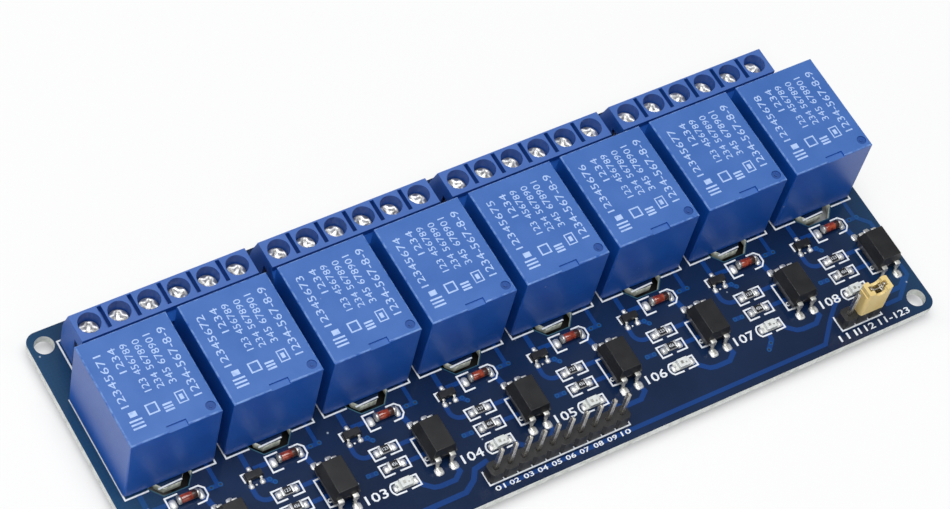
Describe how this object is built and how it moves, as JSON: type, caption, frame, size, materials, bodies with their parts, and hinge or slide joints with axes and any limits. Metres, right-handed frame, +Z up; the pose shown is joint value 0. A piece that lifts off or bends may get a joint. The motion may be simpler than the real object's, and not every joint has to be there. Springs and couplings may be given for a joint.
{
  "type": "relay module board",
  "caption": "Blue circuit board with a row of box relays, screw terminal blocks along the back, and driver parts, pin headers and a jumper cap along the front.",
  "frame": {"origin": "under the middle of the board, at the level of the ends of the relay and terminal pins that stand out below it", "axes": "+X along the board, +Y from the pin headers towards the screw terminals, +Z up from the solder side to the component side"},
  "size_m": [0.137, 0.0554, 0.0189],
  "materials": {
    "solder_mask": "blue solder mask over fibreglass laminate",
    "solder": "bright solder",
    "terminal_plastic": "blue moulded polyamide",
    "plated_steel": "nickel and zinc plated steel",
    "tinned_brass": "tinned brass",
    "relay_plastic": "blue moulded relay cover",
    "relay_steel": "plated soft iron",
    "contact_copper": "copper alloy strip with silver contact buttons",
    "bobbin_plastic": "ivory moulded bobbin",
    "winding_wire": "enamelled copper wire",
    "black_plastic": "black moulded plastic",
    "header_pin_metal": "thin gold over nickel",
    "jumper_plastic": "tan moulded plastic",
    "diode_glass_body": "orange-red glass",
    "lamp_board": "white laminate",
    "lamp_lens_resin": "milky clear resin"
  },
  "bodies": {
    "board": {"circuit_board": "solder_mask", "solder_joints": "solder", "terminal_housing_1": "terminal_plastic", "terminal_housing_2": "terminal_plastic", "terminal_housing_3": "terminal_plastic", "terminal_housing_4": "terminal_plastic", "terminal_screws": "plated_steel", "terminal_cages": "plated_steel", "terminal_contacts": "tinned_brass", "relay_cover_1": "relay_plastic", "relay_cover_2": "relay_plastic", "relay_cover_3": "relay_plastic", "relay_cover_4": "relay_plastic", "relay_cover_5": "relay_plastic", "relay_cover_6": "relay_plastic", "relay_cover_7": "relay_plastic", "relay_cover_8": "relay_plastic", "relay_bases": "relay_plastic", "relay_bobbins": "bobbin_plastic", "relay_windings": "winding_wire", "relay_cores": "relay_steel", "relay_yokes": "relay_steel", "relay_common_strips": "contact_copper", "relay_open_contacts": "contact_copper", "relay_closed_contacts": "contact_copper", "relay_coil_pins": "solder", "input_header_strip": "black_plastic", "input_header_pins": "header_pin_metal", "power_header_strip": "black_plastic", "power_header_pins": "header_pin_metal", "optocoupler_bodies": "black_plastic", "optocoupler_leads": "solder", "transistor_bodies": "black_plastic", "transistor_leads": "solder", "diode_glass": "diode_glass_body", "diode_caps": "solder", "resistor_bodies": "black_plastic", "resistor_caps": "solder", "lamp_bases": "lamp_board", "lamp_lenses": "lamp_lens_resin"},
    "armature_1": {"relay_armature_1": "relay_steel", "relay_spring_1": "contact_copper"},
    "armature_2": {"relay_armature_2": "relay_steel", "relay_spring_2": "contact_copper"},
    "armature_3": {"relay_armature_3": "relay_steel", "relay_spring_3": "contact_copper"},
    "armature_4": {"relay_armature_4": "relay_steel", "relay_spring_4": "contact_copper"},
    "armature_5": {"relay_armature_5": "relay_steel", "relay_spring_5": "contact_copper"},
    "armature_6": {"relay_armature_6": "relay_steel", "relay_spring_6": "contact_copper"},
    "armature_7": {"relay_armature_7": "relay_steel", "relay_spring_7": "contact_copper"},
    "armature_8": {"relay_armature_8": "relay_steel", "relay_spring_8": "contact_copper"},
    "jumper": {"jumper_cap": "jumper_plastic", "jumper_clip": "header_pin_metal"}
  },
  "joints": [
    {"name": "relay_1_pull", "type": "hinge", "parent": "board", "child": "armature_1", "pos_m": [-0.05915, -0.00187, 0.01506], "axis": [-1, 0, 0], "range_deg": [0, 2.4], "stiffness_Nm_per_rad": 0.004, "springref_deg": -11.46},
    {"name": "relay_2_pull", "type": "hinge", "parent": "board", "child": "armature_2", "pos_m": [-0.04225, -0.00187, 0.01506], "axis": [-1, 0, 0], "range_deg": [0, 2.4], "stiffness_Nm_per_rad": 0.004, "springref_deg": -11.46},
    {"name": "relay_3_pull", "type": "hinge", "parent": "board", "child": "armature_3", "pos_m": [-0.02535, -0.00187, 0.01506], "axis": [-1, 0, 0], "range_deg": [0, 2.4], "stiffness_Nm_per_rad": 0.004, "springref_deg": -11.46},
    {"name": "relay_4_pull", "type": "hinge", "parent": "board", "child": "armature_4", "pos_m": [-0.00845, -0.00187, 0.01506], "axis": [-1, 0, 0], "range_deg": [0, 2.4], "stiffness_Nm_per_rad": 0.004, "springref_deg": -11.46},
    {"name": "relay_5_pull", "type": "hinge", "parent": "board", "child": "armature_5", "pos_m": [0.00845, -0.00187, 0.01506], "axis": [-1, 0, 0], "range_deg": [0, 2.4], "stiffness_Nm_per_rad": 0.004, "springref_deg": -11.46},
    {"name": "relay_6_pull", "type": "hinge", "parent": "board", "child": "armature_6", "pos_m": [0.02535, -0.00187, 0.01506], "axis": [-1, 0, 0], "range_deg": [0, 2.4], "stiffness_Nm_per_rad": 0.004, "springref_deg": -11.46},
    {"name": "relay_7_pull", "type": "hinge", "parent": "board", "child": "armature_7", "pos_m": [0.04225, -0.00187, 0.01506], "axis": [-1, 0, 0], "range_deg": [0, 2.4], "stiffness_Nm_per_rad": 0.004, "springref_deg": -11.46},
    {"name": "relay_8_pull", "type": "hinge", "parent": "board", "child": "armature_8", "pos_m": [0.05915, -0.00187, 0.01506], "axis": [-1, 0, 0], "range_deg": [0, 2.4], "stiffness_Nm_per_rad": 0.004, "springref_deg": -11.46},
    {"name": "jumper_pull_off", "type": "slide", "parent": "board", "child": "jumper", "axis": [0, 0, 1], "range_m": [0, 0.0075]}
  ]
}
